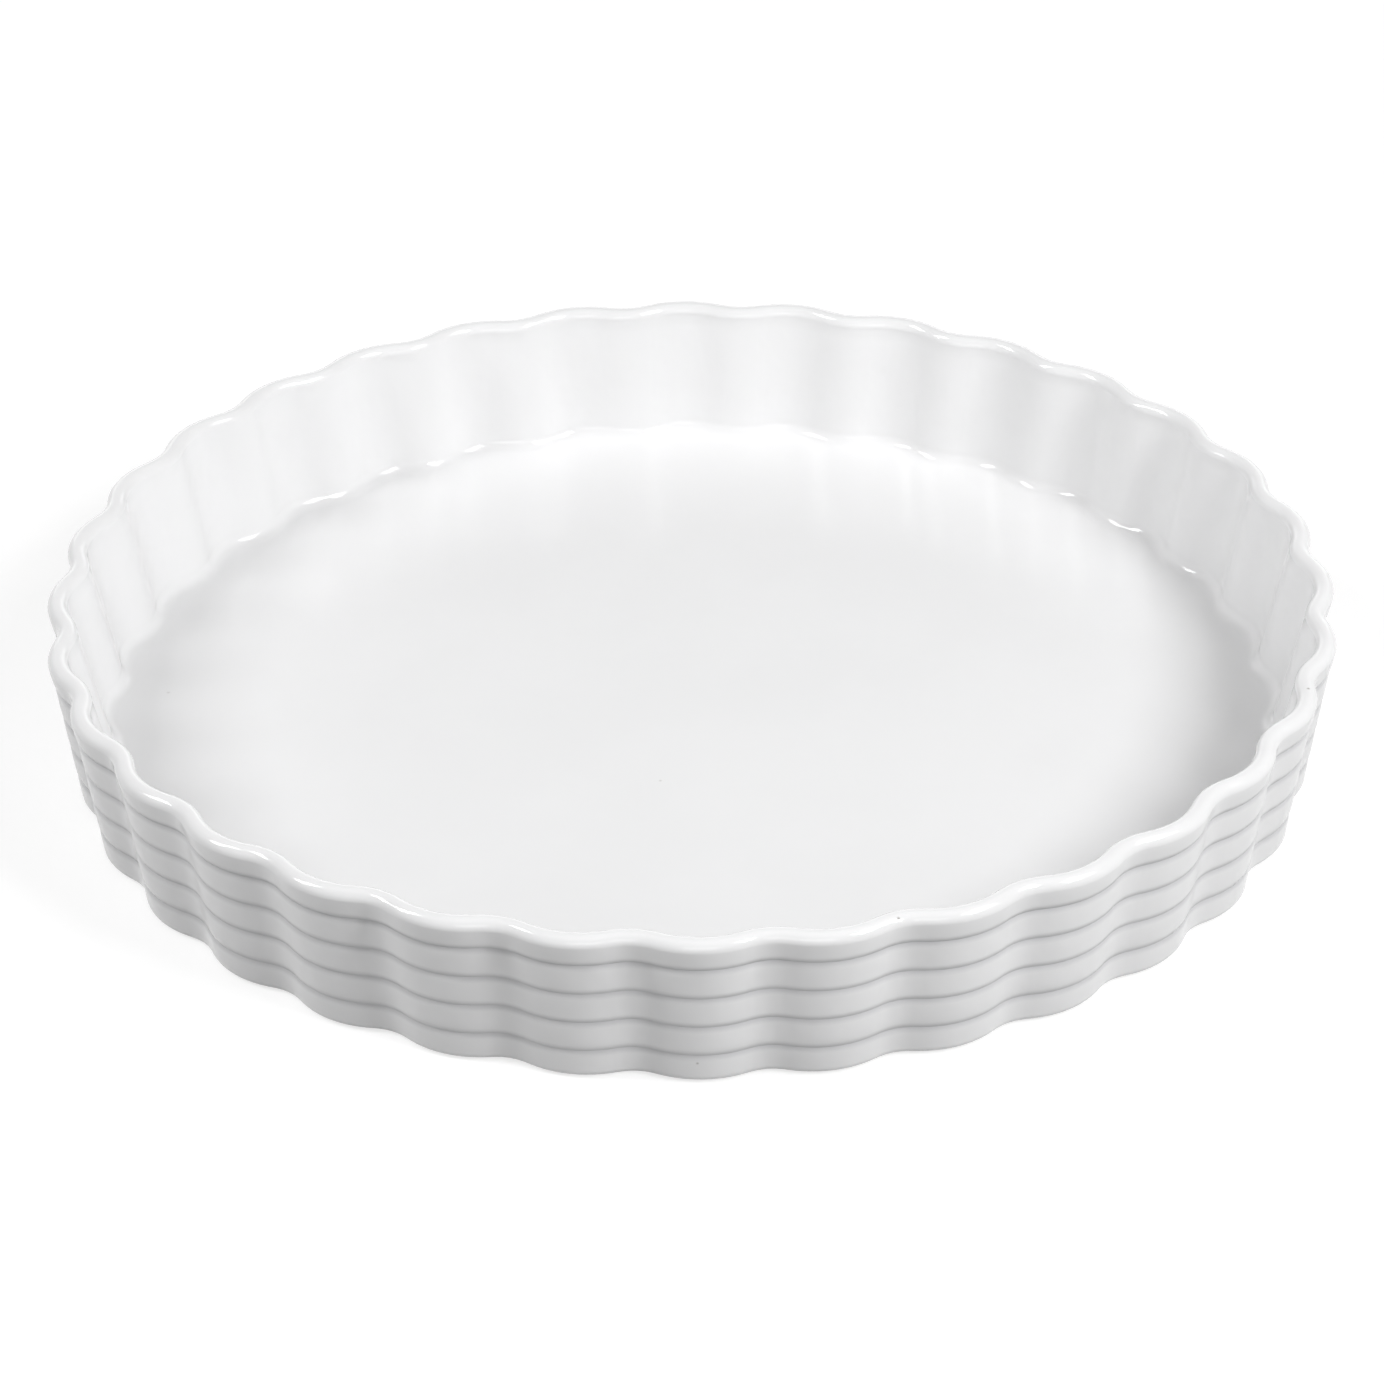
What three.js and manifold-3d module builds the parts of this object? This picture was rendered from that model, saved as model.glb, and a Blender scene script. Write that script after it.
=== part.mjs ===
// A round fluted tart dish in glazed porcelain.
// Millimetres, +Z up. The origin is the centre of the foot, on the table, and one flute's crest faces -Y.
// The dish is formed as one piece of clay and then glazed, so its three solids are what it is made of:
// the fired clay body, the glaze over its well, rim and outside, and the glaze inside its foot ring.
import * as THREE from 'three';
import { mergeVertices } from 'three/addons/utils/BufferGeometryUtils.js';
import Module from 'manifold-3d';

// Overall sizes, measured over the crests of the flutes
const RIM_DIAMETER = 300;
const BASE_DIAMETER = 288.8;
const HEIGHT = 39;

// Flutes: broad lobes with tighter valleys between them, the same inside and out
const FLUTE_COUNT = 32;
const FLUTE_DEPTH = 2.9;
const FLUTE_SHARPNESS = 0.12;
const COLUMNS_PER_FLUTE = 4;

// Bands round the outside, parted by thin grooves
const GROOVE_COUNT = 4;
const GROOVE_DEPTH = 0.6;
const BOTTOM_BAND = 7.7;
const RIM_BAND = 7.1;

// Thicknesses of the glazed wall and floor
const RIM_THICKNESS = 4.6;
const WALL_AT_FLOOR = 6.4;
const FLOOR_THICKNESS = 5.2;
const WELL_FILLET = 3.5;

// Foot ring that the dish stands on, and the glaze that stops short of it
const FOOT_RECESS = 1.2;
const FOOT_WIDTH = 7;
const FOOT_CORNER = 2.2;
const GLAZE_LINE_ANGLE = 55;
const GLAZE_THICKNESS = 0.3;

// Vertices this close are one vertex when a revolved shape is closed
const MERGE_DISTANCE = 1e-4;

// Places worked out from the sizes above
const RIM_RADIUS = RIM_THICKNESS / 2;
const RIM_CENTRE_HEIGHT = HEIGHT - RIM_RADIUS;
const FLOOR_HEIGHT = FOOT_RECESS + FLOOR_THICKNESS;
const COLUMNS = FLUTE_COUNT * COLUMNS_PER_FLUTE;

const wasm = await Module();
wasm.setup();

// Radius of the outside at a flute's crest, on the straight slope from the table to the rim.
function outsideRadius(height) {
  return THREE.MathUtils.lerp(BASE_DIAMETER / 2, RIM_DIAMETER / 2, height / RIM_CENTRE_HEIGHT);
}

// A place on the glazed surface at a flute's crest, with the way that the surface faces there.
function station(radius, height, facing) {
  return { radius, height, facing };
}

// Places on an arc of the profile, each facing out from the arc's centre, or in to it where it is hollow.
function arcStations(centreRadius, centreHeight, arcRadius, angles, hollow = false) {
  return angles.map((angle) => {
    const out = new THREE.Vector2(Math.cos(angle), Math.sin(angle));
    const facing = hollow ? out.clone().negate() : out;
    return station(centreRadius + arcRadius * out.x, centreHeight + arcRadius * out.y, facing);
  });
}

// The foot's flat face ends where its rounded corner begins.
const FOOT_OUTER_RADIUS = outsideRadius(FOOT_CORNER) - FOOT_CORNER;

// Outside from the glaze line up to the rim: a crown on each band and a groove above it.
function outsideStations() {
  const slope = Math.atan2(outsideRadius(RIM_CENTRE_HEIGHT) - outsideRadius(0), RIM_CENTRE_HEIGHT);
  const facing = new THREE.Vector2(Math.cos(slope), -Math.sin(slope));
  const glazeLine = -THREE.MathUtils.degToRad(GLAZE_LINE_ANGLE);
  const stations = arcStations(FOOT_OUTER_RADIUS, FOOT_CORNER, FOOT_CORNER, [glazeLine]);
  const pitch = (HEIGHT - RIM_BAND - BOTTOM_BAND) / Math.max(GROOVE_COUNT - 1, 1);
  let bandFoot = FOOT_CORNER;
  for (let i = 0; i < GROOVE_COUNT; i += 1) {
    const groove = BOTTOM_BAND + i * pitch;
    const crown = (bandFoot + groove) / 2;
    stations.push(station(outsideRadius(crown), crown, facing));
    stations.push(station(outsideRadius(groove) - GROOVE_DEPTH, groove, facing));
    bandFoot = groove;
  }
  return stations;
}

// Half-round rim, from its outer shoulder over the top to its inner shoulder.
function rimStations() {
  const angles = [0, 45, 90, 135, 180].map(THREE.MathUtils.degToRad);
  return arcStations(RIM_DIAMETER / 2 - RIM_RADIUS, RIM_CENTRE_HEIGHT, RIM_RADIUS, angles);
}

// Inside of the wall, the fillet at its foot and the flat floor of the well.
function wellStations() {
  const wallTop = RIM_DIAMETER / 2 - RIM_THICKNESS;
  const wallFoot = outsideRadius(FLOOR_HEIGHT) - WALL_AT_FLOOR;
  const slope = Math.atan2(wallTop - wallFoot, RIM_CENTRE_HEIGHT - FLOOR_HEIGHT);
  const reach = WELL_FILLET * Math.tan((Math.PI / 2 - slope) / 2);
  const angles = [-slope, -(slope + Math.PI / 2) / 2, -Math.PI / 2];
  const fillet = arcStations(wallFoot - reach, FLOOR_HEIGHT + WELL_FILLET, WELL_FILLET, angles, true);
  return [...fillet, station(0, FLOOR_HEIGHT, new THREE.Vector2(0, 1))];
}

// Underside from the axis to the foot's outer edge. The recess is round, and only the outer edge is fluted.
function undersideProfile() {
  const footInner = FOOT_OUTER_RADIUS - FLUTE_DEPTH - FOOT_WIDTH;
  return [
    { radius: 0, height: FOOT_RECESS, fluted: false },
    { radius: footInner - FOOT_RECESS, height: FOOT_RECESS, fluted: false },
    { radius: footInner, height: 0, fluted: false },
    { radius: FOOT_OUTER_RADIUS, height: 0, fluted: true },
  ];
}

// Profile of the surface at a depth below the glaze's own surface.
function coveredProfile(depth) {
  const stations = [...outsideStations(), ...rimStations(), ...wellStations()];
  return stations.map(({ radius, height, facing }) => ({
    radius: radius - depth * facing.x,
    height: height - depth * facing.y,
    fluted: radius > 0,
  }));
}

// How far a flute dips at an angle round the dish, as a share of its depth: 0 on a crest, 1 in a valley.
function fluteDip(angle) {
  const turn = FLUTE_COUNT * angle;
  const wave = Math.cos(turn) - FLUTE_SHARPNESS * Math.cos(2 * turn);
  return (1 - FLUTE_SHARPNESS - wave) / 2;
}

// Revolve a profile about the dish's axis, and press the flutes into its fluted stretches.
function revolve(profile) {
  const points = profile.map(({ radius, height }) => new THREE.Vector2(radius, height));
  const geometry = new THREE.LatheGeometry(points, COLUMNS);
  geometry.rotateX(Math.PI / 2);
  const { position, uv } = geometry.attributes;
  for (let i = 0; i < position.count; i += 1) {
    const { radius, fluted } = profile[Math.round(uv.getY(i) * (profile.length - 1))];
    const dip = fluted ? FLUTE_DEPTH * fluteDip(uv.getX(i) * 2 * Math.PI) : 0;
    const shrink = radius > 0 ? 1 - dip / radius : 1;
    position.setXY(i, position.getX(i) * shrink, position.getY(i) * shrink);
  }
  return geometry;
}

// Turn a closed geometry into a solid that can be cut, and a cut solid back into a geometry.
function toSolid(geometry) {
  const bare = geometry.clone();
  bare.deleteAttribute('normal');
  bare.deleteAttribute('uv');
  const merged = mergeVertices(bare, MERGE_DISTANCE);
  const corners = merged.index.array;
  const triangles = [];
  for (let i = 0; i < corners.length; i += 3) {
    const [a, b, c] = corners.slice(i, i + 3);
    if (a !== b && b !== c && c !== a) triangles.push(a, b, c);
  }
  const vertProperties = merged.attributes.position.array;
  const triVerts = Uint32Array.from(triangles);
  return new wasm.Manifold(new wasm.Mesh({ numProp: 3, vertProperties, triVerts }));
}

function toGeometry(solid) {
  const { vertProperties, triVerts } = solid.getMesh();
  const geometry = new THREE.BufferGeometry();
  geometry.setAttribute('position', new THREE.BufferAttribute(vertProperties, 3));
  geometry.setIndex(new THREE.BufferAttribute(triVerts, 1));
  geometry.computeVertexNormals();
  return geometry;
}

// Fired clay: floor, fluted and ringed wall, rim and bare foot ring, all a glaze's thickness inside.
function bodyGeometry() {
  return revolve([...undersideProfile(), ...coveredProfile(GLAZE_THICKNESS)]);
}

// Glaze from the floor of the well over the rim and down the outside: the whole dish less its clay.
// The two share the clay below the glaze line, so the profile steps out from the clay's first covered place.
function glazeGeometry() {
  const [clayAtLine] = coveredProfile(GLAZE_THICKNESS);
  const whole = revolve([...undersideProfile(), clayAtLine, ...coveredProfile(0)]);
  return toGeometry(toSolid(whole).subtract(toSolid(bodyGeometry())));
}

// Glaze on the recessed underside, within the foot ring.
function baseGlazeGeometry() {
  const [, recessEdge] = undersideProfile();
  const lower = FOOT_RECESS - GLAZE_THICKNESS;
  return revolve([
    { radius: 0, height: lower, fluted: false },
    { radius: recessEdge.radius, height: lower, fluted: false },
    { ...recessEdge },
    { radius: 0, height: FOOT_RECESS, fluted: false },
  ]);
}

const BISCUIT = new THREE.MeshStandardMaterial({ color: 0xe9e6df, roughness: 0.85, metalness: 0 });
const WHITE_GLAZE = new THREE.MeshStandardMaterial({ color: 0xf4f4f3, roughness: 0.12, metalness: 0 });

function piece(name, geometry, material) {
  const mesh = new THREE.Mesh(geometry, material);
  mesh.name = name;
  return mesh;
}

const dish = new THREE.Group();
dish.name = 'tart_dish';
dish.add(piece('porcelain_body', bodyGeometry(), BISCUIT));
dish.add(piece('glaze_coat', glazeGeometry(), WHITE_GLAZE));
dish.add(piece('base_glaze', baseGlazeGeometry(), WHITE_GLAZE));

export default dish;
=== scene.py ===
import math
from typing import NamedTuple

import bpy
from bpy.props import FloatProperty, FloatVectorProperty, IntProperty, PointerProperty
from mathutils import Matrix, Vector


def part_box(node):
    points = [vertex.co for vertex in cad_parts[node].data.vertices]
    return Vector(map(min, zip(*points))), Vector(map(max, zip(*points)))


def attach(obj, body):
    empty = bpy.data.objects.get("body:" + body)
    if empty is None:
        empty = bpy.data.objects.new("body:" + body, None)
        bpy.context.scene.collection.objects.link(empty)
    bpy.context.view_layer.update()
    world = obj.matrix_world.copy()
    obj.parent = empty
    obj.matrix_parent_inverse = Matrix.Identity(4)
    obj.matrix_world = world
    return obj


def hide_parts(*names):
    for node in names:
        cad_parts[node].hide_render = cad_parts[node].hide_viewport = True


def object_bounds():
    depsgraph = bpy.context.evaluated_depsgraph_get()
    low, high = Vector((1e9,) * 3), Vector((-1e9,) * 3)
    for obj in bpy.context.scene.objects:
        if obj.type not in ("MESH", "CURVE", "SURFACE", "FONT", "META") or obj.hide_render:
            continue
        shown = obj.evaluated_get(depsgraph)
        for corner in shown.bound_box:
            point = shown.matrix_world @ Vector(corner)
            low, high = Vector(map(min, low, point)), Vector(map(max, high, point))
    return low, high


bl_info = {
    "name": "Tart Dish",
    "version": (1, 0, 0),
    "blender": (4, 5, 0),
    "location": "View3D > Sidebar > Tart Dish",
    "description": "Makes a fluted and ringed porcelain tart dish over its CAD frame",
    "category": "Add Mesh",
}

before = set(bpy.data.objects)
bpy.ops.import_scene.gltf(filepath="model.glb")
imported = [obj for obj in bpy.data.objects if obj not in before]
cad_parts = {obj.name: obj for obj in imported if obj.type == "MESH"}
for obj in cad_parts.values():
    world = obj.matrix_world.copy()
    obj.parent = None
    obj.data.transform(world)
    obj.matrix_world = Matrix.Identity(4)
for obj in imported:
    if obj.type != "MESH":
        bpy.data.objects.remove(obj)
CAD_LOW, CAD_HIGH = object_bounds()
COAT_LOW, COAT_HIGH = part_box("glaze_coat")
BASE_LOW, BASE_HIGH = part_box("base_glaze")

MM = 0.001
REVOLVE_TREE = "Fluted revolve"
COLUMNS_PER_FLUTE = 16
WELD_DISTANCE = 0.001 * MM


# Sizes, colours and studio settings that a user would change

class DishSizes(bpy.types.PropertyGroup):
    """Sizes of the dish that its frame's boxes don't give."""

    base_diameter: FloatProperty(
        name="Base diameter",
        description="Across the crests of the flutes, where the slope of the wall meets the table",
        default=288.8 * MM, min=20 * MM, unit="LENGTH", precision=4)
    flute_count: IntProperty(
        name="Flutes", description="Lobes round the wall", default=32, min=3)
    flute_depth: FloatProperty(
        name="Flute depth", description="From a crest in to a valley",
        default=2.9 * MM, min=0, unit="LENGTH", precision=4)
    outer_valley: FloatProperty(
        name="Outer valley", description="Share of a flute that its valley takes up on the outside",
        default=0.3, min=0.05, max=0.95, subtype="FACTOR")
    inner_valley: FloatProperty(
        name="Inner valley", description="The same share on the inside, where the wall broadens it",
        default=0.44, min=0.05, max=0.95, subtype="FACTOR")
    groove_count: IntProperty(
        name="Grooves", description="Thin grooves that ring the outside", default=4, min=2)
    groove_depth: FloatProperty(
        name="Groove depth", description="From the edge of a band to the bottom of its groove",
        default=0.3 * MM, min=0, unit="LENGTH", precision=5)
    groove_half_width: FloatProperty(
        name="Groove half width", description="From the bottom of a groove to the edge of its band",
        default=1.5 * MM, min=0.1 * MM, unit="LENGTH", precision=5)
    band_crown: FloatProperty(
        name="Band crown", description="How far a band's middle stands out from its edges",
        default=0.06 * MM, min=0, unit="LENGTH", precision=5)
    bottom_band: FloatProperty(
        name="Bottom band", description="From the table to the lowest groove",
        default=7.55 * MM, min=0, unit="LENGTH", precision=4)
    rim_band: FloatProperty(
        name="Rim band", description="From the highest groove to the top of the rim",
        default=7.45 * MM, min=0, unit="LENGTH", precision=4)
    rim_thickness: FloatProperty(
        name="Rim thickness", description="Across the rounded rim",
        default=4.6 * MM, min=0, unit="LENGTH", precision=4)
    rim_overhang: FloatProperty(
        name="Rim overhang", description="How far the rim stands out from the slope of the wall",
        default=0.4 * MM, min=0, unit="LENGTH", precision=5)
    wall_at_floor: FloatProperty(
        name="Wall at the floor", description="Thickness of the wall where the floor meets it",
        default=6.4 * MM, min=0, unit="LENGTH", precision=4)
    floor_thickness: FloatProperty(
        name="Floor thickness", description="From the recess below to the floor of the well",
        default=5.2 * MM, min=0, unit="LENGTH", precision=4)
    well_fillet: FloatProperty(
        name="Well fillet", description="Radius between the floor of the well and its wall",
        default=3.5 * MM, min=0, unit="LENGTH", precision=4)
    foot_corner: FloatProperty(
        name="Foot corner", description="Radius under the outside of the wall",
        default=2.2 * MM, min=0, unit="LENGTH", precision=4)
    glaze_line: FloatProperty(
        name="Glaze line", description="Where the glaze ends on the foot's corner, below level",
        default=math.radians(55), min=0, max=math.radians(85), subtype="ANGLE")


class DishFinish(bpy.types.PropertyGroup):
    """Colours and gloss of the glaze and of the bare clay."""

    glaze_colour: FloatVectorProperty(
        name="Glaze", description="White glaze over the dish",
        default=(0.844, 0.844, 0.848), min=0, max=1, size=3, subtype="COLOR")
    # Grey in the grooves: partly glaze that pools there, partly painted shade standing in for the grooves'
    # own shadow
    pooled_and_shaded_colour: FloatVectorProperty(
        name="Pooled glaze", description="Greyer glaze where it gathers in the grooves",
        default=(0.58, 0.58, 0.59), min=0, max=1, size=3, subtype="COLOR")
    speck_colour: FloatVectorProperty(
        name="Specks", description="Rare pinholes and iron specks in the glaze",
        default=(0.30, 0.28, 0.26), min=0, max=1, size=3, subtype="COLOR")
    glaze_roughness: FloatProperty(
        name="Glaze roughness", description="Roughness of the gloss on the rim and the well's fillet",
        default=0.08, min=0, max=1, subtype="FACTOR")
    floor_roughness: FloatProperty(
        name="Floor roughness", description="Roughness on the floor of the well",
        default=0.19, min=0, max=1, subtype="FACTOR")
    wall_roughness: FloatProperty(
        name="Wall roughness", description="Roughness on the walls, whose skin is finely pitted",
        default=0.25, min=0, max=1, subtype="FACTOR")
    clay_colour: FloatVectorProperty(
        name="Bare clay", description="Fired clay on the foot ring",
        default=(0.74, 0.71, 0.65), min=0, max=1, size=3, subtype="COLOR")


class DishStudio(bpy.types.PropertyGroup):
    """Camera, floor and light."""

    camera_distance: FloatProperty(
        name="Camera distance", description="From the camera to the middle of the foot",
        default=1.190, min=0.3, unit="LENGTH")
    camera_elevation: FloatProperty(
        name="Camera elevation", description="Above the table",
        default=math.radians(31.42), subtype="ANGLE")
    camera_turn: FloatProperty(
        name="Camera turn", description="Round the dish to the left of its front crest",
        default=math.radians(0.584), subtype="ANGLE")
    camera_roll: FloatProperty(
        name="Camera roll", description="Tilt of the picture, with its right side raised",
        default=math.radians(0.487), subtype="ANGLE")
    aim_height: FloatProperty(
        name="Aim height", description="Height on the dish's axis at the middle of the picture",
        default=10.2 * MM, unit="LENGTH", precision=4)
    lens: FloatProperty(
        name="Lens", description="Focal length on a 36 mm sensor",
        default=130.5, min=10, unit="CAMERA")
    floor_colour: FloatVectorProperty(
        name="Floor", description="Pale floor that the dish stands on",
        default=(0.37, 0.37, 0.37), min=0, max=1, size=3, subtype="COLOR")
    floor_glow: FloatProperty(
        name="Floor glow", description="White that the camera and the gloss see in the floor by the dish",
        default=0.7, min=0, max=1)
    horizon_light: FloatProperty(
        name="Horizon light", description="Light from low down all round", default=0.32, min=0)
    sky_light: FloatProperty(
        name="Sky light", description="Weak light from the dark upper half of the room", default=0.1, min=0)


# The dish's section at a flute's crest

class Station(NamedTuple):
    """A place on a revolved profile, how the flutes shape it, and how grey it is in the grooves, partly from
    pooled glaze and partly from painted shade.
    """

    radius: float
    height: float
    fluted: float = 1.0
    inward: float = 0.0
    pooling_and_groove_shade: float = 0.0


class Rows(NamedTuple):
    """How many steps each stretch of a profile takes."""

    corner: int
    band: int
    rim: int
    wall: int
    fillet: int


# Steps along the profiles, finer on the surface that shows
SHOWN_ROWS = Rows(corner=7, band=17, rim=18, wall=5, fillet=9)
HIDDEN_ROWS = Rows(corner=2, band=5, rim=8, wall=2, fillet=4)
GLAZE_EDGE_ROWS = 5
BARE_CORNER_ROWS = 5
RECESS_STEP_ROWS = 8

# Rows across a flat disc, as shares of its radius
DISC_SHARES = (0.0, 0.5, 0.97)

# Places along the radius of the well's floor, and how much of the flutes is left at each
FLUTE_FADE = ((0.99, 1.0), (0.95, 0.6), (0.88, 0.0), (0.6, 0.0), (0.3, 0.0), (0.0, 0.0))

# How far the rounded lower edge of the glaze reaches round the foot's corner
GLAZE_EDGE_ANGLE = math.radians(14)

# How far the grey in the grooves, partly pooled glaze and partly painted shade, reaches on each side of a
# groove
POOL_AND_SHADE_HALF_WIDTH = 1.7 * MM

# Power of the curve on which the top band flares out to the rim
RIM_FLARE = 1.3

# Bare foot ring, and how far the rows on its flat face stay from its edges
FOOT_WIDTH = 7 * MM
FOOT_MARGIN = FOOT_WIDTH / 10


def evenly(low, high, count):
    """Values from low to high in even steps."""
    return [low + (high - low) * i / count for i in range(count + 1)]


def eased(low, high, count):
    """Values from low to high, closer together near both ends."""
    return [low + (high - low) * (1 - math.cos(math.pi * i / count)) / 2 for i in range(count + 1)]


def smooth(share):
    """An even ease from 0 to 1."""
    return share * share * (3 - 2 * share)


class DishSection:
    """Profiles of the clay and the glaze, from the frame's boxes and the sizes in the sidebar."""

    def __init__(self, sizes):
        self.sizes = sizes
        self.glaze = BASE_HIGH.z - BASE_LOW.z
        self.recess = BASE_HIGH.z
        self.recess_edge = BASE_HIGH.x
        self.floor = self.recess + sizes.floor_thickness
        self.rim_radius = sizes.rim_thickness / 2
        self.rim_centre = Vector((COAT_HIGH.x - self.rim_radius, COAT_HIGH.z - self.rim_radius))
        self.foot_outer = self.slope_radius(sizes.foot_corner) - sizes.foot_corner
        self.foot_inner = self.foot_outer - sizes.flute_depth - FOOT_WIDTH
        top_groove = COAT_HIGH.z - sizes.rim_band
        self.grooves = evenly(sizes.bottom_band, top_groove, sizes.groove_count - 1)
        self.fillet_centre = self.find_fillet_centre()
        self.wall_slope = self.find_wall_slope()

    def slope_radius(self, height):
        """Radius of the outside on the straight slope from the table to the rim."""
        foot = self.sizes.base_diameter / 2
        neck = COAT_HIGH.x - self.sizes.rim_overhang
        return foot + (neck - foot) * height / self.rim_centre.y

    def find_fillet_centre(self):
        """Centre of the fillet's arc, which touches the floor and the wall's thickened foot."""
        wall_foot = self.slope_radius(self.floor) - self.sizes.wall_at_floor
        wall_top = COAT_HIGH.x - self.sizes.rim_thickness
        slope = math.atan2(wall_top - wall_foot, self.rim_centre.y - self.floor)
        reach = self.sizes.well_fillet * math.tan((math.pi / 2 - slope) / 2)
        return Vector((wall_foot - reach, self.floor + self.sizes.well_fillet))

    def find_wall_slope(self):
        """Lean of the inside wall, which is tangent to the rim's arc and to the fillet's."""
        between = self.rim_centre - self.fillet_centre
        radii = self.rim_radius + self.sizes.well_fillet
        return math.acos(radii / between.length) - math.atan2(between.y, between.x)

    def outside_radius(self, height):
        """Radius of the ringed outside: crowned bands with thin grooves, and a top band that flares."""
        sizes = self.sizes
        if height >= self.grooves[-1]:
            share = (self.rim_centre.y - height) / (self.rim_centre.y - self.grooves[-1])
            edge = self.slope_radius(self.grooves[-1]) - sizes.band_crown
            surface = COAT_HIGH.x - (COAT_HIGH.x - edge) * share ** RIM_FLARE
        else:
            # The bottom band's crown is level with the top of the foot's corner
            edges = [2 * sizes.foot_corner - self.grooves[0], *self.grooves]
            low, high = next((a, b) for a, b in zip(edges, edges[1:]) if height <= b)
            share = (2 * height - low - high) / (high - low)
            surface = self.slope_radius(height) - sizes.band_crown * share ** 2
        nearest = min(abs(height - groove) for groove in self.grooves)
        notch = max(0.0, 1 - nearest / sizes.groove_half_width)
        return surface - sizes.groove_depth * notch ** 2

    def pooling_and_groove_shade(self, height):
        """How grey a height on the outside is, from 0 to 1: partly glaze that gathers in the grooves, partly
        painted shade there.
        """
        nearest = min(abs(height - groove) for groove in self.grooves)
        return smooth(max(0.0, 1 - nearest / POOL_AND_SHADE_HALF_WIDTH))

    def corner_station(self, angle, depth):
        """A place on the foot's rounded corner, below the surface of the glaze."""
        corner = self.sizes.foot_corner
        reach = corner - depth
        return Station(self.foot_outer + reach * math.cos(angle), corner + reach * math.sin(angle))

    def arc(self, centre, radius, angles):
        """Fluted places on an arc of the section."""
        return [Station(centre.x + radius * math.cos(a), centre.y + radius * math.sin(a)) for a in angles]

    def covered(self, depth, rows, start):
        """The glazed surface, or the clay at a depth under it, from the foot's corner to the axis."""
        sizes = self.sizes
        lean = math.atan2(COAT_HIGH.x - sizes.base_diameter / 2, self.rim_centre.y)
        corner = [self.corner_station(a, depth) for a in evenly(start, -lean, rows.corner)]
        outside = []
        edges = [sizes.foot_corner, *self.grooves, self.rim_centre.y]
        for low, high in zip(edges, edges[1:]):
            for height in eased(low, high, rows.band)[1:]:
                radius = self.outside_radius(height) - depth
                # Grey in the grooves: partly pooled glaze, partly painted shade
                outside.append(Station(radius, height, pooling_and_groove_shade=self.pooling_and_groove_shade(height)))
        turned = math.pi + self.wall_slope
        over = evenly(0, 1, rows.rim)[1:]
        rim = self.arc(self.rim_centre, self.rim_radius - depth, [turned * share for share in over])
        rim = [place._replace(inward=share) for place, share in zip(rim, over)]
        bend = evenly(-self.wall_slope, -math.pi / 2, rows.fillet)
        fillet = self.arc(self.fillet_centre, sizes.well_fillet + depth, bend)
        top = Vector(rim[-1][:2])
        foot = Vector(fillet[0][:2])
        wall = [Station(*top.lerp(foot, share)) for share in eased(0, 1, rows.wall)[1:-1]]
        inside = [place._replace(inward=1.0) for place in (*wall, *fillet, *self.well_floor(depth))]
        return [*corner, *outside, *rim, *inside]

    def well_floor(self, depth):
        """Flat floor of the well, from the fillet to the axis, with the flutes fading out."""
        edge = self.fillet_centre.x
        return [Station(edge * share, self.floor - depth, fluted) for share, fluted in FLUTE_FADE]

    def clay_interface(self):
        """The clay's surface under the glaze."""
        return self.covered(self.glaze, HIDDEN_ROWS, -self.sizes.glaze_line)

    def underside(self):
        """Bare clay from the axis over the recess, its step and the foot ring to the glaze line."""
        plain = [Station(self.recess_edge * share, self.recess, 0.0) for share in DISC_SHARES]
        step = []
        for share in evenly(0, 1, RECESS_STEP_ROWS):
            radius = self.recess_edge + (self.foot_inner - self.recess_edge) * share
            step.append(Station(radius, self.recess * (1 - smooth(share)), 0.0))
        ring_inner = Station(self.foot_inner + FOOT_MARGIN, 0.0, 0.0)
        ring_outer = Station(self.foot_outer - FOOT_MARGIN, 0.0, 1.0)
        corner = []
        for share in evenly(0, 1, BARE_CORNER_ROWS)[:-1]:
            angle = -math.pi / 2 + (math.pi / 2 - self.sizes.glaze_line) * share
            corner.append(self.corner_station(angle, self.glaze * smooth(share)))
        return [*plain, *step, ring_inner, ring_outer, *corner]

    def clay_profile(self):
        """The whole clay body, from the axis below to the axis above."""
        return [*self.underside(), *self.clay_interface()]

    def coat_profile(self):
        """The glaze coat: its rounded lower edge, its surface to the axis, and back along the clay."""
        line = -self.sizes.glaze_line
        edge = []
        for turn in evenly(0, math.pi / 2, GLAZE_EDGE_ROWS)[:-1]:
            angle = line + GLAZE_EDGE_ANGLE * (1 - math.cos(turn))
            edge.append(self.corner_station(angle, self.glaze * (1 - math.sin(turn))))
        surface = self.covered(0.0, SHOWN_ROWS, line + GLAZE_EDGE_ANGLE)
        return [*edge, *surface, *reversed(self.clay_interface())]

    def base_profile(self):
        """The glaze under the dish, within the foot ring, with a rounded edge."""
        low = self.recess - self.glaze
        inner = self.recess_edge - self.glaze
        face = [Station(inner * share, low, 0.0) for share in DISC_SHARES]
        edge = []
        for turn in evenly(0, math.pi / 2, GLAZE_EDGE_ROWS):
            radius = inner + self.glaze * math.sin(turn)
            edge.append(Station(radius, self.recess - self.glaze * math.cos(turn), 0.0))
        back = [Station(inner * share, self.recess, 0.0) for share in reversed(DISC_SHARES)]
        return [*face, *edge, *back]


# Node helpers

def add_node(tree, kind, **settings):
    """A new node with its settings."""
    node = tree.nodes.new(kind)
    for name, value in settings.items():
        setattr(node, name, value)
    return node


def feed(tree, socket, value):
    """Give an input socket a link or a plain value."""
    if isinstance(value, bpy.types.NodeSocket):
        tree.links.new(value, socket)
    else:
        socket.default_value = value


def math_node(tree, operation, *values):
    """The result of a math node on links or plain values."""
    node = add_node(tree, "ShaderNodeMath", operation=operation)
    for socket, value in zip(node.inputs, values):
        feed(tree, socket, value)
    return node.outputs[0]


def sample_row(tree, profile, row, value, data_type):
    """A field on the profile, read at each row of the revolved grid."""
    node = add_node(tree, "GeometryNodeSampleIndex", data_type=data_type, domain="POINT")
    feed(tree, node.inputs["Geometry"], profile)
    feed(tree, node.inputs["Value"], value)
    feed(tree, node.inputs["Index"], row)
    return node.outputs["Value"]


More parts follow.
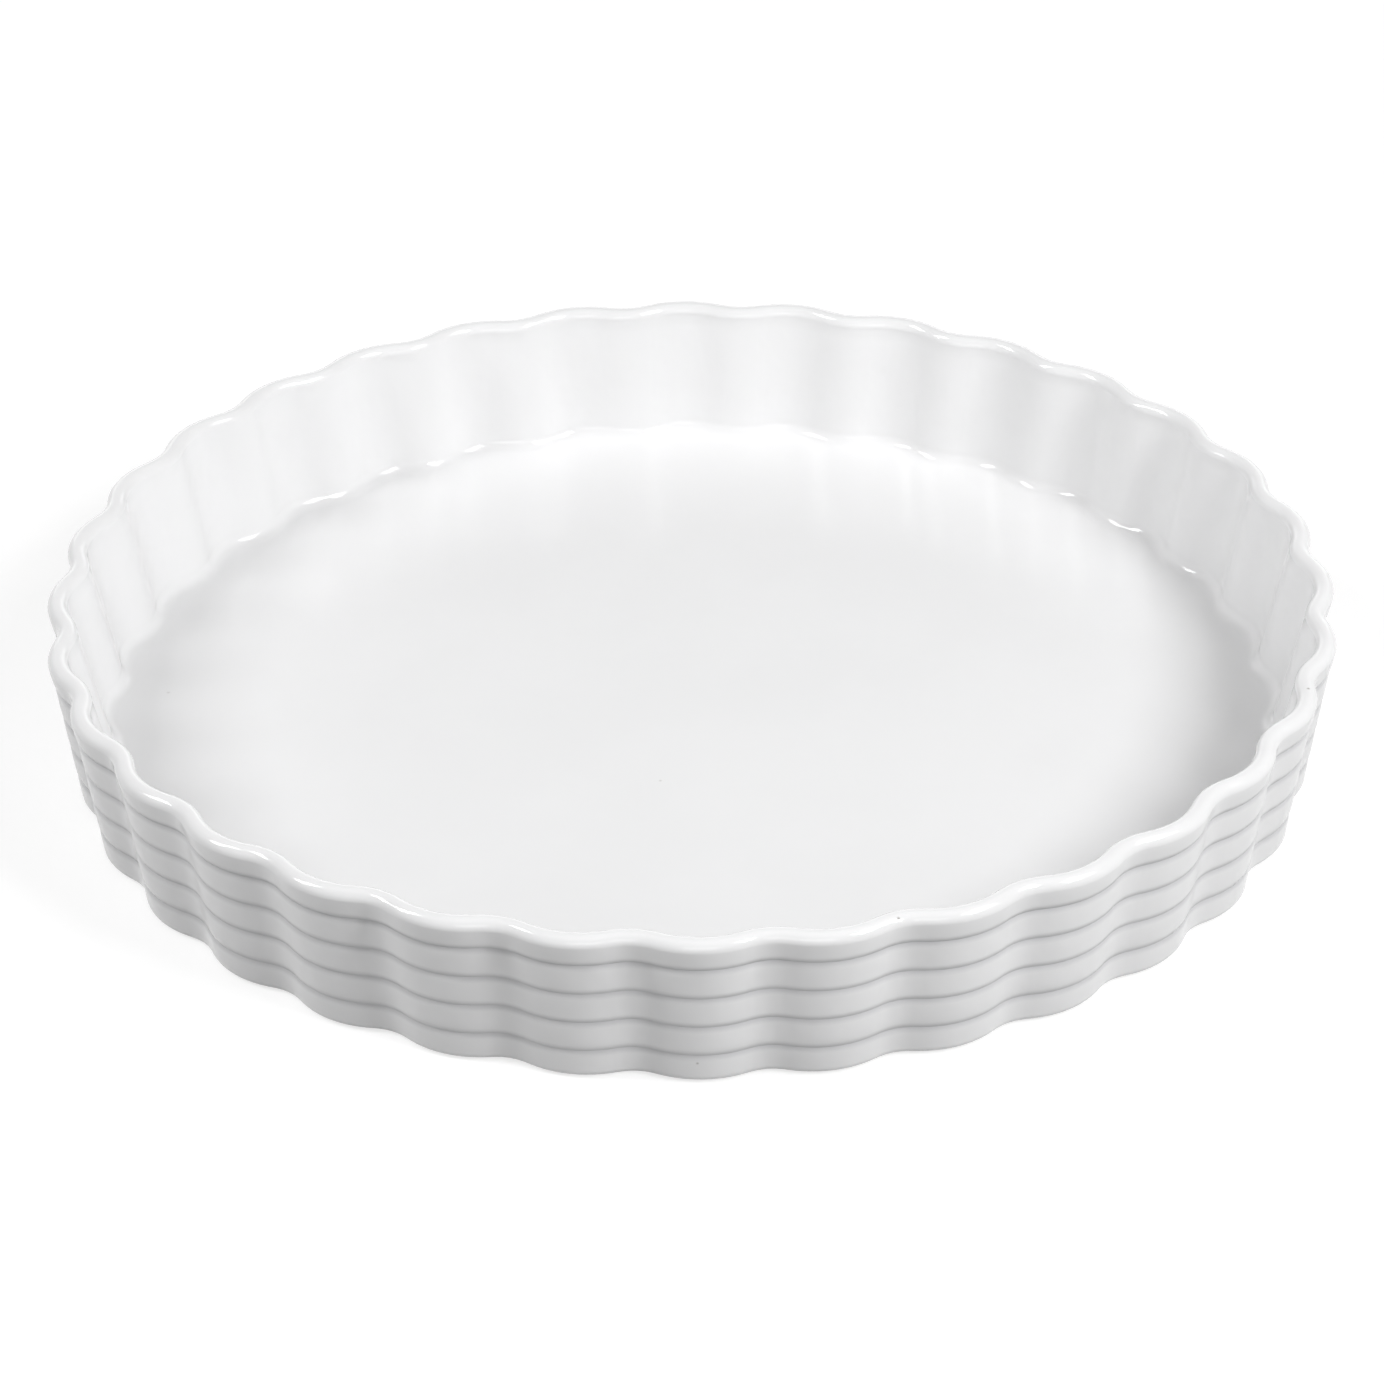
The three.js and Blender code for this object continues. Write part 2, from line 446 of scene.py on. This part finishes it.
def named_float(tree, name):
    """A float attribute of the profile by its name."""
    node = add_node(tree, "GeometryNodeInputNamedAttribute", data_type="FLOAT")
    node.inputs["Name"].default_value = name
    return node.outputs["Attribute"]


# Geometry nodes: a profile revolved about the dish's axis, with flutes pressed into it

TREE_INPUTS = (
    ("Profile", "NodeSocketGeometry"),
    ("Columns", "NodeSocketInt"),
    ("Flute Count", "NodeSocketInt"),
    ("Flute Depth", "NodeSocketFloat"),
    ("Outer Valley", "NodeSocketFloat"),
    ("Inner Valley", "NodeSocketFloat"),
    ("Finish", "NodeSocketMaterial"),
)


def flute_dip(tree, turn, count, valley):
    """How far a flute dips at a turn round the dish, as a share of its depth: 0 on a crest, 1 in a valley.

    The crest is a broad arc and the valley a tight one, and they meet at one slope.
    """
    from_crest = math_node(tree, "PINGPONG", math_node(tree, "MULTIPLY", turn, count), 0.5)
    from_valley = math_node(tree, "SUBTRACT", 0.5, from_crest)
    crest = math_node(tree, "SUBTRACT", 1.0, valley)
    on_crest = math_node(tree, "LESS_THAN", from_crest, math_node(tree, "DIVIDE", crest, 2.0))
    broad = math_node(tree, "DIVIDE", math_node(tree, "POWER", from_crest, 2.0), crest)
    tight = math_node(tree, "DIVIDE", math_node(tree, "POWER", from_valley, 2.0), valley)
    hollow = math_node(tree, "SUBTRACT", 0.25, tight)
    lobe = math_node(tree, "SUBTRACT", broad, hollow)
    return math_node(tree, "MULTIPLY", 4.0, math_node(tree, "MULTIPLY_ADD", on_crest, lobe, hollow))


def revolve_tree():
    """The geometry node tree that every piece of the dish is made with."""
    tree = bpy.data.node_groups.get(REVOLVE_TREE)
    if tree:
        return tree
    tree = bpy.data.node_groups.new(REVOLVE_TREE, "GeometryNodeTree")
    for name, kind in TREE_INPUTS:
        tree.interface.new_socket(name, in_out="INPUT", socket_type=kind)
    tree.interface.new_socket("Dish", in_out="OUTPUT", socket_type="NodeSocketGeometry")
    given = add_node(tree, "NodeGroupInput").outputs
    profile = given["Profile"]

    size = add_node(tree, "GeometryNodeAttributeDomainSize", component="MESH")
    feed(tree, size.inputs["Geometry"], profile)
    rows = size.outputs["Point Count"]
    grid = add_node(tree, "GeometryNodeMeshGrid")
    feed(tree, grid.inputs["Vertices X"], math_node(tree, "ADD", given["Columns"], 1.0))
    feed(tree, grid.inputs["Vertices Y"], rows)

    index = add_node(tree, "GeometryNodeInputIndex").outputs[0]
    row = math_node(tree, "MODULO", index, rows)
    column = math_node(tree, "FLOOR", math_node(tree, "DIVIDE", index, rows))
    turn = math_node(tree, "DIVIDE", column, given["Columns"])
    place = add_node(tree, "GeometryNodeInputPosition").outputs[0]
    section = add_node(tree, "ShaderNodeSeparateXYZ")
    feed(tree, section.inputs[0], sample_row(tree, profile, row, place, "FLOAT_VECTOR"))
    fluted = sample_row(tree, profile, row, named_float(tree, "fluted"), "FLOAT")
    inward = sample_row(tree, profile, row, named_float(tree, "inward"), "FLOAT")
    # The grooves' grey, partly pooled glaze and partly painted shade, is read from the profile and stored on
    # the dish for the glaze
    pooling_and_groove_shade = sample_row(tree, profile, row, named_float(tree, "pooling_and_groove_shade"), "FLOAT")

    broader = math_node(tree, "SUBTRACT", given["Inner Valley"], given["Outer Valley"])
    valley = math_node(tree, "MULTIPLY_ADD", inward, broader, given["Outer Valley"])
    dip = flute_dip(tree, turn, given["Flute Count"], valley)
    depth = math_node(tree, "MULTIPLY", given["Flute Depth"], fluted)
    radius = math_node(tree, "SUBTRACT", section.outputs["X"], math_node(tree, "MULTIPLY", dip, depth))
    angle = math_node(tree, "MULTIPLY_ADD", turn, math.tau, -math.pi / 2)
    point = add_node(tree, "ShaderNodeCombineXYZ")
    feed(tree, point.inputs["X"], math_node(tree, "MULTIPLY", radius, math_node(tree, "COSINE", angle)))
    feed(tree, point.inputs["Y"], math_node(tree, "MULTIPLY", radius, math_node(tree, "SINE", angle)))
    feed(tree, point.inputs["Z"], section.outputs["Z"])

    placed = add_node(tree, "GeometryNodeSetPosition")
    feed(tree, placed.inputs["Geometry"], grid.outputs["Mesh"])
    feed(tree, placed.inputs["Position"], point.outputs[0])
    stored = add_node(tree, "GeometryNodeStoreNamedAttribute", data_type="FLOAT", domain="POINT")
    feed(tree, stored.inputs["Geometry"], placed.outputs[0])
    stored.inputs["Name"].default_value = "pooling_and_groove_shade"
    feed(tree, stored.inputs["Value"], pooling_and_groove_shade)
    welded = add_node(tree, "GeometryNodeMergeByDistance")
    feed(tree, welded.inputs["Geometry"], stored.outputs[0])
    welded.inputs["Distance"].default_value = WELD_DISTANCE
    rounded = add_node(tree, "GeometryNodeSetShadeSmooth")
    feed(tree, rounded.inputs["Geometry"], welded.outputs[0])
    real = add_node(tree, "GeometryNodeRealizeInstances")
    feed(tree, real.inputs["Geometry"], rounded.outputs[0])
    finished = add_node(tree, "GeometryNodeSetMaterial")
    feed(tree, finished.inputs["Geometry"], real.outputs[0])
    feed(tree, finished.inputs["Material"], given["Finish"])
    made = add_node(tree, "NodeGroupOutput")
    feed(tree, made.inputs["Dish"], finished.outputs[0])
    return tree


def profile_mesh(name, stations):
    """A profile as a line of vertices in the XZ plane, with its attributes."""
    mesh = bpy.data.meshes.new(name)
    links = [(i, i + 1) for i in range(len(stations) - 1)]
    mesh.from_pydata([(s.radius, 0.0, s.height) for s in stations], links, [])
    # The pooling attribute carries the grooves' grey, partly pooled glaze and partly painted shade
    for attribute in ("fluted", "inward", "pooling_and_groove_shade"):
        values = mesh.attributes.new(attribute, "FLOAT", "POINT")
        values.data.foreach_set("value", [getattr(s, attribute) for s in stations])
    return mesh


def revolved_piece(name, stations, material, sizes):
    """Revolve a profile into a closed piece of the dish, and keep it as a plain mesh."""
    profile = profile_mesh(name + "_profile", stations)
    piece = bpy.data.objects.new(name, profile)
    bpy.context.scene.collection.objects.link(piece)
    tree = revolve_tree()
    modifier = piece.modifiers.new("Revolve", "NODES")
    modifier.node_group = tree
    values = {
        "Columns": sizes.flute_count * COLUMNS_PER_FLUTE,
        "Flute Count": sizes.flute_count,
        "Flute Depth": sizes.flute_depth,
        "Outer Valley": sizes.outer_valley,
        "Inner Valley": sizes.inner_valley,
        "Finish": material,
    }
    for item in tree.interface.items_tree:
        if item.in_out == "INPUT" and item.name in values:
            modifier[item.identifier] = values[item.name]
    graph = bpy.context.evaluated_depsgraph_get()
    mesh = bpy.data.meshes.new_from_object(piece.evaluated_get(graph))
    if not mesh.polygons:
        raise RuntimeError(f"{name} came out empty")
    piece.modifiers.remove(modifier)
    piece.data = mesh
    mesh.name = name
    bpy.data.meshes.remove(profile)
    return piece


def seat(piece, node):
    """Put a finished piece in the frame in place of its CAD node."""
    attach(piece, "root")
    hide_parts(node)


# Finishes

def noise(tree, coordinates, scale, detail, roughness=0.5):
    """Noise on the dish's own coordinates, in cycles to the metre."""
    node = add_node(tree, "ShaderNodeTexNoise")
    feed(tree, node.inputs["Vector"], coordinates)
    node.inputs["Scale"].default_value = scale
    node.inputs["Detail"].default_value = detail
    node.inputs["Roughness"].default_value = roughness
    return node.outputs["Fac"]


def ranged(tree, value, low, high, new_low, new_high):
    """A value moved from one range to another, with an eased and clamped result."""
    node = add_node(tree, "ShaderNodeMapRange", interpolation_type="SMOOTHSTEP")
    for socket, given in zip(node.inputs, (value, low, high, new_low, new_high)):
        feed(tree, socket, given)
    return node.outputs["Result"]


def mixed(tree, share, first, second, blend="MIX"):
    """Two colours mixed by a share."""
    node = add_node(tree, "ShaderNodeMix", data_type="RGBA", blend_type=blend)
    shown = [socket for socket in node.inputs if socket.enabled]
    for socket, value in zip(shown, (share, first, second)):
        feed(tree, socket, value)
    return next(socket for socket in node.outputs if socket.enabled)


def bumped(tree, height, distance, normal=None):
    """A bump of a real height over the surface."""
    node = add_node(tree, "ShaderNodeBump")
    node.inputs["Distance"].default_value = distance
    feed(tree, node.inputs["Height"], height)
    if normal:
        feed(tree, node.inputs["Normal"], normal)
    return node.outputs["Normal"]


def opaque(colour):
    """A colour with full alpha."""
    return (*colour, 1.0)


def new_finish(name):
    """A new material with the dish's own coordinates and its surface shader."""
    material = bpy.data.materials.new(name)
    material.use_nodes = True
    tree = material.node_tree
    surface = tree.nodes["Principled BSDF"]
    coordinates = add_node(tree, "ShaderNodeTexCoord").outputs["Object"]
    return material, tree, surface, coordinates


GLAZE_NAME = "White glaze"
CLAY_NAME = "Bare fired clay"

# Glaze: mottled white, smeared gloss, broad ripples, and fine pits that fade off the walls
GLAZE_IOR = 1.5
MOTTLE_SCALE = 22
MOTTLE_RANGE = (0.35, 0.65)
MOTTLE_DARKEST = 0.985
SMEAR_SCALE = 66
SMEAR_RANGE = (0.3, 0.7)
SMEAR_SWING = 0.2
RIPPLE_SCALE = 45
RIPPLE_HEIGHT = 0.12 * MM
PIT_SCALE = 170
PIT_HEIGHT = 0.2 * MM
PIT_OFF_WALL = 0.1

# Where the gloss changes: heights over the floor of the well, and depths below the rim's top
FLOOR_EDGE = (0.1 * MM, 0.5 * MM)
WALL_FOOT = (1.1 * MM, 4.6 * MM)
WALL_TOP = (9 * MM, 2 * MM)

# Bare clay: shaded patches and a fine grain
CLAY_ROUGHNESS = 0.85
SHADE_SCALE = 88
SHADE_RANGE = (0.3, 0.7)
SHADE_MOST = 0.35
SHADE_LEVEL = 0.8
GRAIN_SCALE = 2600
GRAIN_HEIGHT = 0.05 * MM


class Speck(NamedTuple):
    """A mark in the glaze: its place and radius in millimetres, and how dark it is from 0 to 1."""

    place: tuple
    radius: float
    darkness: float


SPECKS = (
    Speck((-124.5, 9.4, 6.4), radius=0.7, darkness=0.25),
    Speck((-7.8, -33.2, 6.4), radius=0.6, darkness=0.3),
    Speck((138.1, -50.1, 39.0), radius=0.6, darkness=0.8),
    Speck((41.4, -140.3, 38.5), radius=0.6, darkness=0.8),
    Speck((-1.0, -145.2, 5.6), radius=0.5, darkness=0.6),
)


def speck_share(tree, coordinates):
    """How much of a speck shows at a place on the glaze."""
    shown = 0.0
    for speck in SPECKS:
        away = add_node(tree, "ShaderNodeVectorMath", operation="DISTANCE")
        feed(tree, away.inputs[0], coordinates)
        away.inputs[1].default_value = Vector(speck.place) * MM
        mark = ranged(tree, away.outputs["Value"], 0.0, speck.radius * MM, speck.darkness, 0.0)
        shown = math_node(tree, "MAXIMUM", mark, shown)
    return shown


def height_of(tree, coordinates):
    """Height above the table."""
    axes = add_node(tree, "ShaderNodeSeparateXYZ")
    feed(tree, axes.inputs[0], coordinates)
    return axes.outputs["Z"]


def on_wall(tree, height, floor):
    """1 on the walls and 0 on the floor and the rim, with an ease between them."""
    foot = [floor + reach for reach in WALL_FOOT]
    top = [COAT_HIGH.z - drop for drop in WALL_TOP]
    above_foot = ranged(tree, height, *foot, 0.0, 1.0)
    return ranged(tree, height, *top, above_foot, 0.0)


def glaze_finish(finish, floor):
    """Glossy white glaze: faint mottling, grey in the grooves that is partly pooled glaze and partly painted
    shade, rare specks, and a slightly wavy skin.

    Its gloss is dullest on the walls, and follows the height of the well's floor.
    """
    material = bpy.data.materials.get(GLAZE_NAME)
    if material:
        return material
    material, tree, surface, coordinates = new_finish(GLAZE_NAME)
    # Grey in the grooves: partly glaze that pools there, partly painted shade
    pooling_and_groove_shade = add_node(tree, "ShaderNodeAttribute", attribute_name="pooling_and_groove_shade").outputs["Fac"]
    white = mixed(tree, pooling_and_groove_shade, opaque(finish.glaze_colour), opaque(finish.pooled_and_shaded_colour))
    patches = noise(tree, coordinates, MOTTLE_SCALE, detail=4)
    mottle = ranged(tree, patches, *MOTTLE_RANGE, MOTTLE_DARKEST, 1.0)
    tint = add_node(tree, "ShaderNodeCombineColor")
    for socket in tint.inputs:
        feed(tree, socket, mottle)
    mottled = mixed(tree, 1.0, white, tint.outputs[0], "MULTIPLY")
    specks = speck_share(tree, coordinates)
    feed(tree, surface.inputs["Base Color"], mixed(tree, specks, mottled, opaque(finish.speck_colour)))
    smear = noise(tree, coordinates, SMEAR_SCALE, detail=3)
    swing = finish.glaze_roughness * SMEAR_SWING
    gloss = ranged(tree, smear, *SMEAR_RANGE, finish.glaze_roughness - swing, finish.glaze_roughness + swing)
    height = height_of(tree, coordinates)
    wall = on_wall(tree, height, floor)
    edge = [floor + reach for reach in FLOOR_EDGE]
    off_wall = ranged(tree, height, *edge, finish.floor_roughness, gloss)
    feed(tree, surface.inputs["Roughness"], ranged(tree, wall, 0.0, 1.0, off_wall, finish.wall_roughness))
    ripple = bumped(tree, noise(tree, coordinates, RIPPLE_SCALE, detail=1), RIPPLE_HEIGHT)
    share = ranged(tree, wall, 0.0, 1.0, PIT_OFF_WALL, 1.0)
    pits = math_node(tree, "MULTIPLY", noise(tree, coordinates, PIT_SCALE, detail=1), share)
    feed(tree, surface.inputs["Normal"], bumped(tree, pits, PIT_HEIGHT, ripple))
    surface.inputs["IOR"].default_value = GLAZE_IOR
    return material


def clay_finish(finish):
    """Matt fired clay with a fine grain, left bare on the foot ring."""
    material = bpy.data.materials.get(CLAY_NAME)
    if material:
        return material
    material, tree, surface, coordinates = new_finish(CLAY_NAME)
    grain = noise(tree, coordinates, GRAIN_SCALE, detail=3, roughness=0.6)
    patches = noise(tree, coordinates, SHADE_SCALE, detail=5)
    shade = ranged(tree, patches, *SHADE_RANGE, 0.0, SHADE_MOST)
    darker = [SHADE_LEVEL * channel for channel in finish.clay_colour]
    feed(tree, surface.inputs["Base Color"], mixed(tree, shade, opaque(finish.clay_colour), opaque(darker)))
    feed(tree, surface.inputs["Normal"], bumped(tree, grain, GRAIN_HEIGHT))
    surface.inputs["Roughness"].default_value = CLAY_ROUGHNESS
    return material


# Studio

FLOOR_RADIUS = 4.0
FLOOR_SIDES = 96
FLOOR_DROP = 0.02 * MM
LAMP_DISTANCE = 1.6

# Distances from the dish between which the floor's glow grows to full white
GLOW_FROM = 0.35
GLOW_TO = 1.3

# Upward parts of a direction between which the horizon fades into the dark upper half
HORIZON_TO = 0.3
SKY_FROM = 0.75


class SoftBox(NamedTuple):
    """A lamp that faces the dish: its direction in degrees, its sides in metres and its watts."""

    name: str
    azimuth: float
    elevation: float
    width: float
    height: float
    power: float


SOFT_BOXES = (
    SoftBox("Key from the right", 71, 47, width=0.35, height=0.75, power=7.0),
    SoftBox("Key from the front right", 50, 40, width=0.4, height=0.5, power=11.8),
    SoftBox("Fill from the front", 0, 26, width=0.9, height=0.5, power=2.8),
    SoftBox("Fill from the left", -84, 46, width=0.35, height=0.75, power=11.8),
    SoftBox("Fill from behind", 180, 13, width=1.8, height=0.5, power=2.2),
)


def direction(azimuth, elevation):
    """Unit vector from the dish, with azimuth 0 to the front and 90 to the right, in radians."""
    level = math.cos(elevation)
    return Vector((level * math.sin(azimuth), -level * math.cos(azimuth), math.sin(elevation)))


def make_soft_box(box, aim):
    """A soft lamp on its direction, turned to the dish."""
    lamp = bpy.data.lights.new(box.name, "AREA")
    lamp.energy = box.power
    lamp.shape = "RECTANGLE"
    lamp.size = box.width
    lamp.size_y = box.height
    holder = bpy.data.objects.new(box.name, lamp)
    out = direction(math.radians(box.azimuth), math.radians(box.elevation))
    holder.location = aim + out * LAMP_DISTANCE
    holder.rotation_mode = "QUATERNION"
    holder.rotation_quaternion = (-out).to_track_quat("-Z", "Y")
    bpy.context.scene.collection.objects.link(holder)


def seen_rays(tree):
    """1 for the rays that show the background to the camera, straight, in the gloss or through glass."""
    rays = add_node(tree, "ShaderNodeLightPath").outputs
    direct = math_node(tree, "MAXIMUM", rays["Is Camera Ray"], rays["Is Glossy Ray"])
    return math_node(tree, "MAXIMUM", direct, rays["Is Transmission Ray"])


def make_floor(studio):
    """A wide pale floor that takes the dish's shadow, and shows white to the camera and in the gloss."""
    mesh = bpy.data.meshes.new("studio_floor")
    turns = [math.tau * i / FLOOR_SIDES for i in range(FLOOR_SIDES)]
    rim = [(FLOOR_RADIUS * math.cos(t), FLOOR_RADIUS * math.sin(t), -FLOOR_DROP) for t in turns]
    mesh.from_pydata(rim, [], [range(FLOOR_SIDES)])
    floor = bpy.data.objects.new("studio_floor", mesh)
    bpy.context.scene.collection.objects.link(floor)
    material = bpy.data.materials.new("Pale floor")
    material.use_nodes = True
    tree = material.node_tree
    tree.nodes.clear()
    matt = add_node(tree, "ShaderNodeBsdfDiffuse")
    matt.inputs["Color"].default_value = opaque(studio.floor_colour)
    away = add_node(tree, "ShaderNodeVectorMath", operation="LENGTH")
    feed(tree, away.inputs[0], add_node(tree, "ShaderNodeTexCoord").outputs["Object"])
    level = ranged(tree, away.outputs["Value"], GLOW_FROM, GLOW_TO, studio.floor_glow, 1.0)
    glow = add_node(tree, "ShaderNodeEmission")
    feed(tree, glow.inputs["Strength"], math_node(tree, "MULTIPLY", seen_rays(tree), level))
    both = add_node(tree, "ShaderNodeAddShader")
    feed(tree, both.inputs[0], matt.outputs[0])
    feed(tree, both.inputs[1], glow.outputs[0])
    out = add_node(tree, "ShaderNodeOutputMaterial")
    feed(tree, out.inputs["Surface"], both.outputs[0])
    mesh.materials.append(material)


def make_room(studio):
    """Plain room light: a horizon that shows white behind the floor, and a dark upper half."""
    world = bpy.data.worlds.new("Studio room")
    world.use_nodes = True
    bpy.context.scene.world = world
    tree = world.node_tree
    up = add_node(tree, "ShaderNodeSeparateXYZ")
    feed(tree, up.inputs[0], add_node(tree, "ShaderNodeTexCoord").outputs["Generated"])
    horizon = math_node(tree, "MAXIMUM", seen_rays(tree), studio.horizon_light)
    level = ranged(tree, up.outputs["Z"], HORIZON_TO, SKY_FROM, horizon, studio.sky_light)
    feed(tree, tree.nodes["Background"].inputs["Strength"], level)
    tree.nodes["Background"].inputs["Color"].default_value = opaque((1, 1, 1))


def make_camera(studio):
    """The camera, in front of the dish and above it, with a slight roll."""
    lens = bpy.data.cameras.new("Camera")
    lens.lens = studio.lens
    camera = bpy.data.objects.new("Camera", lens)
    bpy.context.scene.collection.objects.link(camera)
    out = direction(-studio.camera_turn, studio.camera_elevation)
    camera.location = out * studio.camera_distance
    aim = Vector((0, 0, studio.aim_height))
    level = (aim - camera.location).to_track_quat("-Z", "Y").to_matrix()
    camera.rotation_mode = "QUATERNION"
    camera.rotation_quaternion = (level @ Matrix.Rotation(-studio.camera_roll, 3, "Z")).to_quaternion()
    bpy.context.scene.camera = camera


# Operators, panel and registration

class TARTDISH_OT_clay_body(bpy.types.Operator):
    """Make the fired clay body, bare on its foot ring"""

    bl_idname = "tart_dish.clay_body"
    bl_label = "Clay Body"

    def execute(self, context):
        sizes = context.scene.dish_sizes
        material = clay_finish(context.scene.dish_finish)
        piece = revolved_piece("fired_clay", DishSection(sizes).clay_profile(), material, sizes)
        seat(piece, "porcelain_body")
        return {"FINISHED"}


class TARTDISH_OT_glaze_coat(bpy.types.Operator):
    """Make the glaze over the well, the rim and the ringed outside"""

    bl_idname = "tart_dish.glaze_coat"
    bl_label = "Glaze Coat"

    def execute(self, context):
        sizes = context.scene.dish_sizes
        section = DishSection(sizes)
        material = glaze_finish(context.scene.dish_finish, section.floor)
        piece = revolved_piece("dish_glaze", section.coat_profile(), material, sizes)
        seat(piece, "glaze_coat")
        return {"FINISHED"}


class TARTDISH_OT_base_glaze(bpy.types.Operator):
    """Make the glaze under the dish, within the foot ring"""

    bl_idname = "tart_dish.base_glaze"
    bl_label = "Base Glaze"

    def execute(self, context):
        sizes = context.scene.dish_sizes
        section = DishSection(sizes)
        material = glaze_finish(context.scene.dish_finish, section.floor)
        piece = revolved_piece("underside_glaze", section.base_profile(), material, sizes)
        seat(piece, "base_glaze")
        return {"FINISHED"}


class TARTDISH_OT_stage(bpy.types.Operator):
    """Make the floor, the lamps, the room light and the camera"""

    bl_idname = "tart_dish.stage"
    bl_label = "Studio"

    def execute(self, context):
        studio = context.scene.dish_studio
        context.scene.view_settings.view_transform = "Standard"
        make_camera(studio)
        make_floor(studio)
        make_room(studio)
        middle = (CAD_LOW + CAD_HIGH) / 2
        for box in SOFT_BOXES:
            make_soft_box(box, middle)
        return {"FINISHED"}


class TARTDISH_PT_sidebar(bpy.types.Panel):
    """Sidebar that lists the dish's pieces and settings"""

    bl_idname = "TARTDISH_PT_sidebar"
    bl_label = "Tart Dish"
    bl_space_type = "VIEW_3D"
    bl_region_type = "UI"
    bl_category = "Tart Dish"

    def draw(self, context):
        for operator in OPERATORS:
            self.layout.operator(operator.bl_idname)
        for group in (context.scene.dish_sizes, context.scene.dish_finish, context.scene.dish_studio):
            box = self.layout.box()
            for name in group.__annotations__:
                box.prop(group, name)


OPERATORS = (TARTDISH_OT_stage, TARTDISH_OT_clay_body, TARTDISH_OT_glaze_coat, TARTDISH_OT_base_glaze)
GROUPS = {"dish_sizes": DishSizes, "dish_finish": DishFinish, "dish_studio": DishStudio}


def register():
    """Register the settings, the operators and the sidebar."""
    for group in GROUPS.values():
        bpy.utils.register_class(group)
    for name, group in GROUPS.items():
        setattr(bpy.types.Scene, name, PointerProperty(type=group))
    for operator in OPERATORS:
        bpy.utils.register_class(operator)
    bpy.utils.register_class(TARTDISH_PT_sidebar)


def unregister():
    """Take away what register added, in the opposite order."""
    bpy.utils.unregister_class(TARTDISH_PT_sidebar)
    for operator in reversed(OPERATORS):
        bpy.utils.unregister_class(operator)
    for name in GROUPS:
        delattr(bpy.types.Scene, name)
    for group in reversed(GROUPS.values()):
        bpy.utils.unregister_class(group)


def main():
    """Make the studio and the dish."""
    register()
    bpy.ops.tart_dish.stage()
    bpy.ops.tart_dish.clay_body()
    bpy.ops.tart_dish.glaze_coat()
    bpy.ops.tart_dish.base_glaze()


if __name__ == "__main__":
    main()
